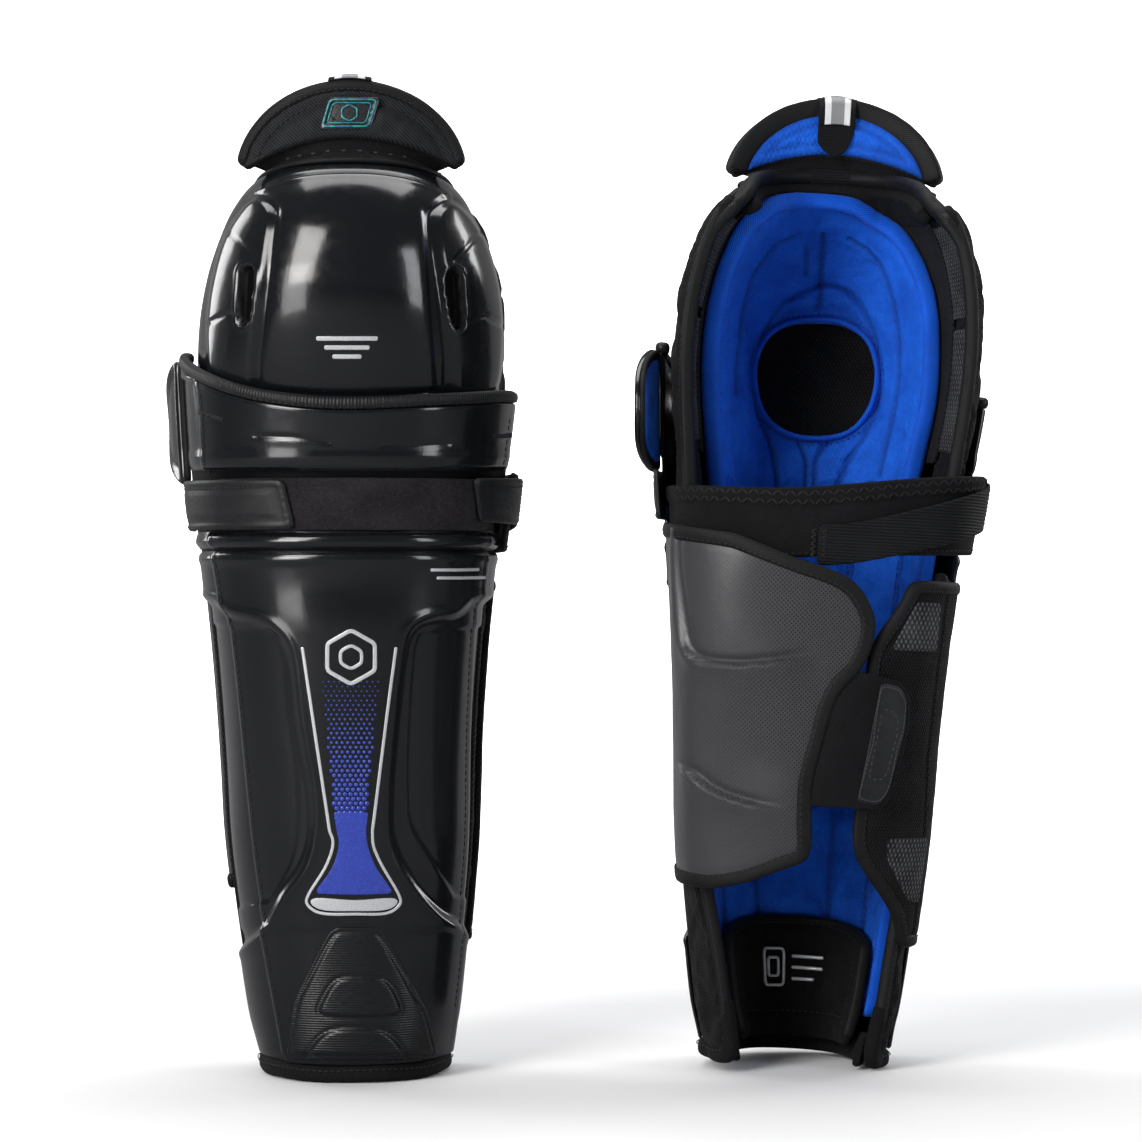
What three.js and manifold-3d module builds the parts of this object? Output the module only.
// A pair of ice hockey shin guards, right and left, mirror images of each other.
// Each has a moulded knee cap and shin shell on padded textile, a folding thigh flap, a calf wrap
// in two wings closed by a tab, a calf strap with two peel tabs, a side wing and an ankle flap.
// Millimetres and degrees, +Z up the leg. Each guard is laid out in its own frame: front of the leg
// towards -Y, outer (lateral) side towards -X, z = 0 at the underside of the bottom hem. The right
// guard keeps its front to -Y; the left guard is mirrored front to back, so its front is to +Y.
import * as THREE from "three";
import { mergeVertices } from "three/addons/utils/BufferGeometryUtils.js";
import Module from "manifold-3d";

const wasm = await Module();
wasm.setup();

// ---------------------------------------------------------------- driving dimensions
const RIGHT_X = -104; // right guard's centre line
const LEFT_X = 108; // left guard's centre line at the base
const LEFT_TILT = 3; // lean of the left guard about Y, top towards +X
const HEM_REACH = 45.6; // centre line to the edge of the hem the left guard leans away from
const SHELL_T = 3; // moulded shell wall
const SHELL_EDGE = 86; // angle of the shin shell's side edges
const COLLAR_EDGE = 85; // angle of the collar pad's ends
const BOW = 3.5; // sideways bow at mid height, towards the lateral side
const BOW_SPAN = 460; // height the bow runs over

// Shin stations by height z: half width, depth in front of the axis, depth behind it.
const SHIN = {
  z: [0, 14, 28, 57, 86, 115, 144, 173, 202, 231, 253, 275, 304, 324, 350],
  width: [45, 48.6, 52, 56, 59.6, 62.4, 63.6, 65.2, 67.4, 70.3, 72.8, 75.6, 78, 79.4, 81],
  front: [58, 60, 61.5, 64, 66.5, 69, 71.5, 74, 76.5, 79.5, 82, 84.5, 89, 92.5, 97],
  back: [38, 39, 40, 43, 48, 53, 57, 59, 60, 60, 60, 60, 60, 60, 60],
  roundness: 2.25, // exponent of the cross-section; 2 is an ellipse
};
// Knee stations by level (0 near the cap's lower edge, 1 at its top):
// height z, half width, depth in front of the axis, drop of the sides.
const KNEE = {
  level: [-0.22, 0, 0.15, 0.3, 0.45, 0.6, 0.72, 0.82, 0.9, 0.96, 1, 1.07, 1.14],
  z: [280, 303, 319, 340, 362, 382, 398, 411, 420.5, 427, 431, 436.5, 440],
  width: [66.5, 69.5, 71.5, 73, 72.2, 69.3, 65.4, 61, 56.5, 52.5, 49, 45, 40.5],
  front: [74, 78, 82.5, 90, 95.5, 96.5, 92.5, 85.5, 77.5, 69, 62.5, 55, 47.5],
  drop: [0, 0, 0, 0, 0, 1.5, 3.5, 6, 8, 9.5, 10.5, 11.5, 12],
  back: 58,
  roundness: 2.2,
};
// Opening in the knee liner, bored front to back.
const HOLE = { radius: 30, z: 338, length: 100, y: -70, segments: 14 };
// Thigh flap: half width, y at the fold line, how far its sides curve back, backward lean per mm
// of height, and the height its sideways bow is taken at.
const FLAP = { width: 51.5, y: -52, foldZ: 443, curveBack: 14, lean: 0.12, bowZ: 452 };
// Flap outline: an elliptical arch over a lower edge that falls towards the sides.
const ARCH = { z: 430, rise: 41, width: FLAP.width + 0.8 };
const LOWER_EDGE = { z: 443.5, fall: 13.5 };
const WRAP_TAB = { bottom: 131, top: 194, rootBottom: -188.5, rootTop: -204 };
const STRAP_BOTTOM = 259.5; // lower edge of the loop band and of the lateral strap tab

// ---------------------------------------------------------------- number helpers
const vec = (x, y, z) => new THREE.Vector3(x, y, z);
const rad = (degrees) => (degrees * Math.PI) / 180;
const mix = (from, to, share) => from + (to - from) * share;
const smooth = (value) => {
  const share = Math.min(1, Math.max(0, value));
  return share * share * (3 - 2 * share);
};

// Smooth curve through a table, carried on straight past its ends:
// cubic Hermite with finite-difference slopes.
function curve(xs, ys, x) {
  const last = xs.length - 1;
  const slope = (i, j) => (ys[j] - ys[i]) / (xs[j] - xs[i]);
  if (x <= xs[0]) return ys[0] + (x - xs[0]) * slope(0, 1);
  if (x >= xs[last]) return ys[last] + (x - xs[last]) * slope(last - 1, last);
  let i = 0;
  while (x > xs[i + 1]) i++;
  const tangent = (k) => slope(Math.max(0, k - 1), Math.min(last, k + 1));
  const step = xs[i + 1] - xs[i];
  const share = (x - xs[i]) / step;
  const square = share * share;
  const cube = square * share;
  return (
    (2 * cube - 3 * square + 1) * ys[i] +
    (cube - 2 * square + share) * step * tangent(i) +
    (-2 * cube + 3 * square) * ys[i + 1] +
    (cube - square) * step * tangent(i + 1)
  );
}

// ---------------------------------------------------------------- surfaces
// Angles run round the leg: 0 at the front, negative to the lateral side.
const bow = (z) => -BOW * Math.sin((Math.PI * Math.min(Math.max(z, 0), BOW_SPAN)) / BOW_SPAN);

// Distance from the axis to a superellipse at an angle.
function ring(angle, width, front, back, roundness) {
  const sine = Math.abs(Math.sin(rad(angle)));
  const cosine = Math.cos(rad(angle));
  const depth = cosine >= 0 ? front : back;
  const sum = Math.pow(sine / width, roundness) + Math.pow(Math.abs(cosine) / depth, roundness);
  return 1 / Math.pow(sum, 1 / roundness);
}

// Point on the shin surface, moved out level by off.
function shin(angle, z, off) {
  const [width, front, back] = [SHIN.width, SHIN.front, SHIN.back].map((ys) => curve(SHIN.z, ys, z));
  const pointAt = (turn) => {
    const radius = ring(turn, width, front, back, SHIN.roundness);
    return vec(radius * Math.sin(rad(turn)), -radius * Math.cos(rad(turn)), 0);
  };
  const tangent = pointAt(angle + 0.5).sub(pointAt(angle - 0.5));
  const outward = vec(tangent.y, -tangent.x, 0).normalize();
  return pointAt(angle).addScaledVector(outward, off).add(vec(bow(z), 0, z));
}

function kneeSurface(angle, level) {
  const read = (ys) => curve(KNEE.level, ys, level);
  const z = read(KNEE.z);
  const radius = ring(angle, read(KNEE.width), read(KNEE.front), KNEE.back, KNEE.roundness);
  const drop = read(KNEE.drop) * (1 - Math.cos(rad(angle)));
  return vec(bow(z) + radius * Math.sin(rad(angle)), -radius * Math.cos(rad(angle)), z - drop);
}
// Point on the knee surface, moved out by off along the surface normal.
function knee(angle, level, off) {
  const round = kneeSurface(angle + 0.5, level).sub(kneeSurface(angle - 0.5, level));
  const rise = kneeSurface(angle, level + 0.004).sub(kneeSurface(angle, level - 0.004));
  return kneeSurface(angle, level).addScaledVector(round.cross(rise).normalize(), off);
}

const flapTop = (x) => ARCH.z + ARCH.rise * Math.sqrt(Math.max(0, 1 - (x / ARCH.width) ** 2));
const flapBottom = (x) => LOWER_EDGE.z - LOWER_EDGE.fall * (Math.abs(x) / FLAP.width) ** 2;
// Point on the thigh flap, moved forward by off.
function flap(x, z, off) {
  const share = x / FLAP.width;
  const forward = vec((2 * FLAP.curveBack * share) / FLAP.width, -1, FLAP.lean).normalize();
  const y = FLAP.y + FLAP.curveBack * share * share + FLAP.lean * (z - FLAP.foldZ);
  return vec(bow(FLAP.bowZ) + x, y, z).addScaledVector(forward, off);
}

// ---------------------------------------------------------------- solids
function moveVertices(geometry, move) {
  const { position } = geometry.attributes;
  for (let i = 0; i < position.count; i++) {
    const moved = move(vec().fromBufferAttribute(position, i));
    position.setXYZ(i, moved.x, moved.y, moved.z);
  }
}
function signedVolume({ attributes, index }) {
  const corner = (i) => vec().fromBufferAttribute(attributes.position, index.getX(i));
  let sum = 0;
  for (let i = 0; i < index.count; i += 3) {
    sum += corner(i).dot(corner(i + 1).cross(corner(i + 2)));
  }
  return sum / 6;
}
// Turns every triangle over.
function flip({ index }) {
  for (let i = 0; i < index.count; i += 3) {
    const second = index.getX(i + 1);
    index.setX(i + 1, index.getX(i + 2));
    index.setX(i + 2, second);
  }
}
// Welded copy with its faces outward.
function solid(geometry) {
  const bare = geometry.clone();
  bare.deleteAttribute("normal");
  bare.deleteAttribute("uv");
  const welded = mergeVertices(bare, 1e-3);
  if (signedVolume(welded) < 0) flip(welded);
  return welded;
}
// A box whose vertices surfaceAt(across, up, out) moves into place, each share from 0 to 1.
function sheet([columns, rows], surfaceAt) {
  const geometry = new THREE.BoxGeometry(1, 1, 1, columns, rows, 1);
  moveVertices(geometry, ({ x, y, z }) => surfaceAt(x + 0.5, y + 0.5, z + 0.5));
  return solid(geometry);
}
// Maker of sheets that lie on one surface. Each pair of bounds holds numbers or functions:
// sides are the side edges (by share up), ends the lower and upper edges (by share across),
// faces the offsets of the two faces (by share across), cells the divisions across and up.
function sheetOn(surface) {
  const between = (bounds, at, share) => {
    const [from, to] = bounds.map((bound) => (typeof bound === "function" ? bound(at) : bound));
    return mix(from, to, share);
  };
  return ({ sides, ends, faces, cells }) =>
    sheet(cells, (across, up, out) =>
      surface(between(sides, up, across), between(ends, across, up), between(faces, across, out)));
}
const onShin = sheetOn(shin);
const onKnee = sheetOn(knee);
const onFlap = sheetOn(flap);

// Pad with the flap's outline, drawn in by inset.
function flapPad({ halfWidth, inset, faces, cells }) {
  return sheet(cells, (across, up, out) => {
    const x = halfWidth * Math.sin(((2 * across - 1) * Math.PI) / 2);
    const bottom = flapBottom(x) + inset;
    const top = Math.max(bottom + 3, flapTop(x) - inset);
    return flap(x, mix(bottom, top, up), mix(...faces, out));
  });
}
// A closed five-sided tube round path(share), share from 0 to 1.
function tube({ path, radius, steps }) {
  const sides = 5;
  const corners = Array.from({ length: sides }, (_, i) => {
    const turn = ((i + 0.5) / sides) * 2 * Math.PI;
    return new THREE.Vector2(radius * Math.cos(turn), radius * Math.sin(turn));
  });
  const points = Array.from({ length: steps + 1 }, (_, i) => path(i / steps));
  const extrudePath = new THREE.CatmullRomCurve3(points);
  const options = { steps, bevelEnabled: false, extrudePath };
  return solid(new THREE.ExtrudeGeometry(new THREE.Shape(corners), options));
}
function toManifold(geometry) {
  const { attributes, index } = solid(geometry);
  return new wasm.Manifold(new wasm.Mesh({
    numProp: 3,
    vertProperties: attributes.position.array,
    triVerts: new Uint32Array(index.array),
  }));
}
function cut(body, tool) {
  const mesh = toManifold(body).subtract(toManifold(tool)).getMesh();
  const geometry = new THREE.BufferGeometry();
  const positions = new Float32Array(mesh.vertProperties);
  geometry.setAttribute("position", new THREE.BufferAttribute(positions, 3));
  geometry.setIndex(new THREE.BufferAttribute(new Uint32Array(mesh.triVerts), 1));
  return solid(geometry);
}

// ---------------------------------------------------------------- materials
const standard = (options) => new THREE.MeshStandardMaterial(options);
const MATERIALS = {
  shell: standard({ color: 0x1b1d20, roughness: 0.16 }),
  textile: standard({ color: 0x141416, roughness: 0.8 }),
  mesh: standard({ color: 0x2a2a2e, roughness: 0.7 }),
  blue: standard({ color: 0x1249c4, roughness: 0.75 }),
  foam: standard({ color: 0x101112, roughness: 0.9 }),
  loop: standard({ color: 0x17151a, roughness: 0.95 }),
  rubber: standard({ color: 0x202124, roughness: 0.55 }),
  badge: standard({ color: 0x0e2a2a, roughness: 0.3, metalness: 0.4 }),
  silver: standard({ color: 0xb9bcc2, roughness: 0.4 }),
  panel: standard({ color: 0x3a3a3f, roughness: 0.6 }),
};

// ---------------------------------------------------------------- parts, in the guard's own frame
const part = (name, body, material, geometry) =>
  ({ name, body, material: MATERIALS[material], geometry });

// Height of the shin shell's upper edge: low over the front, highest on the lateral side.
export const collarZ = (angle) =>
  315 + 3 * Math.min(1, Math.abs(angle) / 50) +
  24 * smooth((-angle - 45) / 40) + 5 * smooth((angle - 50) / 35);
// Upper edge from -edge to edge, raised by lift, by share across.
const collar = (edge, lift) => (across) => collarZ(mix(-edge, edge, across)) + lift;

function shinParts() {
  const add = (name, material, bounds) => part(name, "shin", material, onShin(bounds));
  const sidePanel = (name, sides) =>
    add(name, "textile", { sides, ends: [11, 236], faces: [-8.2, -4.4], cells: [3, 7] });
  return [
    add("shin_shell", "shell", {
      sides: [-SHELL_EDGE, SHELL_EDGE], ends: [10.2, collar(SHELL_EDGE, 0)],
      faces: [-SHELL_T, 0], cells: [12, 7],
    }),
    add("shell_collar_pad", "textile", {
      sides: [-COLLAR_EDGE, COLLAR_EDGE], ends: [collar(COLLAR_EDGE, 0.6), collar(COLLAR_EDGE, 5)],
      faces: [-5.6, 1.4], cells: [12, 1],
    }),
    add("shin_foam", "foam",
      { sides: [-70, 70], ends: [22, 278], faces: [-10.4, -4.4], cells: [10, 5] }),
    add("liner_shin", "blue",
      { sides: [-80, 80], ends: [24, 262], faces: [-18, -11.8], cells: [10, 5] }),
    sidePanel("side_panel_lateral", [-77, (up) => mix(-128, -112, smooth(up * 1.6))]),
    sidePanel("side_panel_medial", [77, (up) => mix(118, 112, up)]),
    add("bottom_hem", "textile",
      { sides: [-122, 118], ends: [0, 9.4], faces: [-13, 0.5], cells: [14, 1] }),
    add("strap_loop_band", "loop",
      { sides: [-44, 60], ends: [STRAP_BOTTOM, 283.5], faces: [0.8, 2.4], cells: [8, 1] }),
    calfBand(),
    calfElastic(),
  ];
}
// Runs round the back, from inside the wraps to outside the shell's medial edge.
function calfBand() {
  const outward = (across) => smooth((across - 0.6) / 0.25);
  return part("calf_band", "shin", "rubber", onShin({
    sides: [-104, -284],
    ends: [
      (across) => mix(240.5, 250, smooth(across)),
      (across) => mix(276, 288, smooth((across - 0.3) / 0.6)),
    ],
    faces: [(across) => mix(-6, 1.8, outward(across)), (across) => mix(-3.4, 3.9, outward(across))],
    cells: [14, 1],
  }));
}
// Runs from the back of the calf to the medial side, rising and moving outward.
function calfElastic() {
  const outward = (across) => smooth((across - 0.15) / 0.45);
  return part("calf_elastic", "shin", "rubber", onShin({
    sides: [-178, -273],
    ends: [
      (across) => mix(241, 262, smooth(across)),
      (across) => mix(260, 284, smooth(across)),
    ],
    faces: [(across) => mix(-2.4, 5.2, outward(across)), (across) => mix(-0.4, 7.2, outward(across))],
    cells: [9, 1],
  }));
}

function kneeParts() {
  const add = (name, material, bounds) => part(name, "knee", material, onKnee(bounds));
  return [
    add("knee_cap", "shell",
      { sides: [-84, 84], ends: [-0.12, 1], faces: [-SHELL_T, 0], cells: [14, 8] }),
    add("knee_pad", "foam",
      { sides: [-48, 48], ends: [0.12, 0.74], faces: [-10.5, -4.5], cells: [8, 4] }),
    kneeFrame("lateral", -1),
    kneeFrame("medial", 1),
    add("knee_top_trim", "textile",
      { sides: [-104, 104], ends: [1.03, 1.12], faces: [-6.5, -0.4], cells: [14, 1] }),
    part("liner_knee", "knee", "blue", kneeLiner()),
    part("liner_rim", "knee", "blue", tube({ path: rimPath, radius: 2.7, steps: 22 })),
  ];
}
// Side frame, stepping out from behind the cap's edge.
function kneeFrame(side, sign) {
  const outward = (across) => smooth((across - 0.34) / 0.5);
  return part("knee_frame_" + side, "knee", "textile", onKnee({
    sides: [sign * 74, sign * 112],
    ends: [-0.08, 0.93],
    faces: [(across) => mix(-9, -2.5, outward(across)), (across) => mix(-4.2, 2.6, outward(across))],
    cells: [6, 6],
  }));
}
function kneeLiner() {
  const cup = onKnee({
    sides: [-70, 70],
    ends: [-0.05, (across) => 0.87 - 0.15 * Math.abs(2 * across - 1) ** 4],
    faces: [-19.5, -11.6],
    cells: [10, 7],
  });
  const hole = new THREE.CylinderGeometry(HOLE.radius, HOLE.radius, HOLE.length, HOLE.segments);
  return cut(cup, hole.translate(bow(HOLE.z), HOLE.y, HOLE.z));
}
// Up the lateral side, over the top and down the medial side.
function rimPath(share) {
  const leg = 0.36; // share of each half spent on the side
  const arch = 1 - leg;
  const edge = 76; // angle of the legs
  const signed = 2 * share - 1;
  const fromTop = Math.abs(signed);
  if (fromTop > arch) {
    return knee(Math.sign(signed) * edge, mix(0.84, 0.02, (fromTop - arch) / leg), -15.4);
  }
  const run = fromTop / arch;
  const angle = edge * (smooth(run) * 0.35 + run * 0.65);
  return knee(Math.sign(signed) * angle, mix(0.95, 0.84, run ** 4), -15.4);
}

function thighParts() {
  const add = (name, material, geometry) => part(name, "thigh", material, geometry);
  return [
    add("thigh_pad", "mesh",
      flapPad({ halfWidth: FLAP.width - 5.6, inset: 4.2, faces: [-6, 1], cells: [10, 3] })),
    add("thigh_lining", "blue",
      flapPad({ halfWidth: FLAP.width - 7, inset: 5.4, faces: [-8.6, -6.6], cells: [10, 3] })),
    add("thigh_binding", "textile", tube({ path: bindingPath, radius: 2.4, steps: 18 })),
    add("thigh_pull_loop", "silver",
      onFlap({ sides: [-9.5, 9.5], ends: [448, 466.4], faces: [-12, -9.6], cells: [2, 3] })),
    add("thigh_badge", "badge",
      onFlap({ sides: [-12, 12], ends: [450.5, 464], faces: [1.6, 3.4], cells: [2, 2] })),
    add("thigh_hinge_web", "textile", hingeWeb()),
  ];
}
// Along the flap's arch, stopping just short of its lower corners.
function bindingPath(share) {
  const x = FLAP.width * Math.sin(mix(-0.985, 0.985, share) * (Math.PI / 2));
  return flap(x, Math.max(flapTop(x), flapBottom(x) + 2), -2.6);
}
// Strip along the flap's lower edge.
function hingeWeb() {
  const edge = (lift) => (across) => flapBottom(mix(-30, 30, across)) + lift;
  return onFlap({ sides: [-30, 30], ends: [edge(-2.2), edge(2.4)], faces: [-3.2, -1.8], cells: [6, 1] });
}

function wrapParts() {
  return [
    part("wrap_lateral_panel", "lateral_wrap", "panel", onShin({
      sides: [-101, (up) => mix(-183, -203, up)],
      ends: [
        (across) => mix(90, 116, smooth((across - 0.45) / 0.5)),
        (across) => mix(256, 218, Math.pow(across, 1.6)),
      ],
      faces: [3, 6],
      cells: [9, 6],
    })),
    part("wrap_tab", "wrap_tab", "textile", onShin({
      sides: [(up) => mix(WRAP_TAB.rootBottom, WRAP_TAB.rootTop, up), (up) => mix(-215, -226, up)],
      ends: [WRAP_TAB.bottom, WRAP_TAB.top],
      faces: [3.2, 6],
      cells: [3, 3],
    })),
    part("wrap_medial_panel", "medial_wrap", "mesh", onShin({
      sides: [103, (up) => 120 + 36 * smooth(up / 0.3) - 17 * smooth((up - 0.78) / 0.22)],
      ends: [62, 235],
      faces: [-1.6, 1.4],
      cells: [5, 6],
    })),
  ];
}

// Strap tabs, ankle flap and side wing: each is a body of its own, named like its one part.
function loosePart(name, material, bounds) {
  return part(name, name, material, onShin(bounds));
}
function looseParts() {
  return [
    loosePart("strap_tab_lateral", "rubber", {
      sides: [-90, (up) => mix(-21, -26, up)],
      ends: [STRAP_BOTTOM, 284],
      faces: [3.2, 5.4],
      cells: [7, 1],
    }),
    loosePart("strap_tab_medial", "rubber", {
      sides: [(up) => mix(50, 46, up), 84.5],
      ends: [262.5, 285.5],
      faces: [(across) => mix(3.2, 5.2, across), (across) => mix(5.2, 7.2, across)],
      cells: [5, 1],
    }),
    loosePart("ankle_flap", "textile", {
      sides: [-58, 58],
      ends: [12.5, (across) => 66 - 9 * Math.pow(Math.abs(2 * across - 1), 2.4)],
      faces: [-23.6, -19.4],
      cells: [8, 4],
    }),
    loosePart("side_wing", "shell", {
      sides: [-89, (up) => mix(-104, -118, Math.sin(Math.PI * up))],
      ends: [(across) => mix(293, 297, across), (across) => mix(339, 334, across)],
      faces: [(across) => mix(1.8, 6.5, across), (across) => mix(5, 10.5, across)],
      cells: [3, 4],
    }),
  ];
}

// ---------------------------------------------------------------- joints, in the guard's own frame
// Each joint turns its child about an axis through a point, over a range in degrees.
export function guardJoints() {
  const joint = (parent, child, at, axis, range) => ({ parent, child, at, axis, range });
  const up = vec(0, 0, 1);
  const down = vec(0, 0, -1);
  const medial = vec(1, 0, 0);
  const lateral = vec(-1, 0, 0);
  const tabBottom = shin(WRAP_TAB.rootBottom + 2, WRAP_TAB.bottom, 4.4);
  const tabLine = shin(WRAP_TAB.rootTop + 2, WRAP_TAB.top, 4.4).sub(tabBottom).normalize();
  const fold = vec(bow(FLAP.bowZ), FLAP.y - 0.5, FLAP.foldZ);
  const ankle = vec(bow(11), shin(0, 11, -21.5).y, 11);
  return {
    knee_flex: joint("shin", "knee", vec(bow(318), -6, 318), medial, [-12, 3]),
    thigh_flap_fold: joint("knee", "thigh", fold, medial, [-30, 25]),
    lateral_wrap_open: joint("shin", "lateral_wrap", shin(-100, 180, 4.5), up, [0, 85]),
    medial_wrap_open: joint("shin", "medial_wrap", shin(102, 150, 0), down, [0, 51]),
    wrap_tab_peel: joint("lateral_wrap", "wrap_tab", tabBottom, tabLine, [0, 50]),
    strap_tab_lateral_peel:
      joint("shin", "strap_tab_lateral", shin(-90.5, 272, 4.3), down, [0, 60]),
    strap_tab_medial_peel: joint("shin", "strap_tab_medial", shin(85.5, 272, 6.2), up, [0, 60]),
    ankle_flap_fold: joint("shin", "ankle_flap", ankle, lateral, [0, 30]),
    side_wing_flex: joint("shin", "side_wing", shin(-88, 316, 3), up, [0, 18]),
  };
}

// ---------------------------------------------------------------- both guards
const lean = (vector) => vector.applyAxisAngle(vec(0, 1, 0), rad(LEFT_TILT));
const LEFT_RISE = HEM_REACH * Math.sin(rad(LEFT_TILT));
const PLACE = {
  right: ({ x, y, z }) => vec(x + RIGHT_X, y, z),
  left: ({ x, y, z }) => lean(vec(x, -y, z)).add(vec(LEFT_X, 0, LEFT_RISE)),
};

function placedMesh(side, { name, body, material, geometry }) {
  const placed = geometry.clone();
  moveVertices(placed, PLACE[side]);
  if (side === "left") flip(placed); // mirroring turned the faces inward
  const mesh = new THREE.Mesh(placed, material);
  mesh.name = side + "_" + name;
  mesh.userData.body = side + "_" + body;
  return mesh;
}

const parts = [shinParts, kneeParts, thighParts, wrapParts, looseParts].flatMap((make) => make());
const pair = new THREE.Group();
pair.name = "hockey_shin_guards";
const meshes = [];
for (const side of ["right", "left"]) {
  const guard = new THREE.Group();
  guard.add(...parts.map((item) => placedMesh(side, item)));
  meshes.push(...guard.children);
  pair.add(guard);
}

// The pair's origin is the middle of its footprint, on the ground.
const box = new THREE.Box3();
for (const mesh of meshes) box.expandByObject(mesh);
export const SHIFT = vec(-(box.min.x + box.max.x) / 2, -(box.min.y + box.max.y) / 2, -box.min.z);
for (const mesh of meshes) mesh.geometry.translate(SHIFT.x, SHIFT.y, SHIFT.z);

// Joint points and axes of the whole pair in its own frame.
export function pairJoints() {
  // A mirrored turning axis keeps its part along the mirror's normal and reverses the rest.
  const turnAxis = {
    right: (axis) => axis.clone(),
    left: ({ x, y, z }) => lean(vec(-x, y, -z)),
  };
  const joints = {};
  for (const [name, joint] of Object.entries(guardJoints())) {
    for (const side of ["right", "left"]) {
      const at = PLACE[side](joint.at).add(SHIFT);
      joints[side + "_" + name] = { ...joint, at, axis: turnAxis[side](joint.axis) };
    }
  }
  return joints;
}

export default pair;
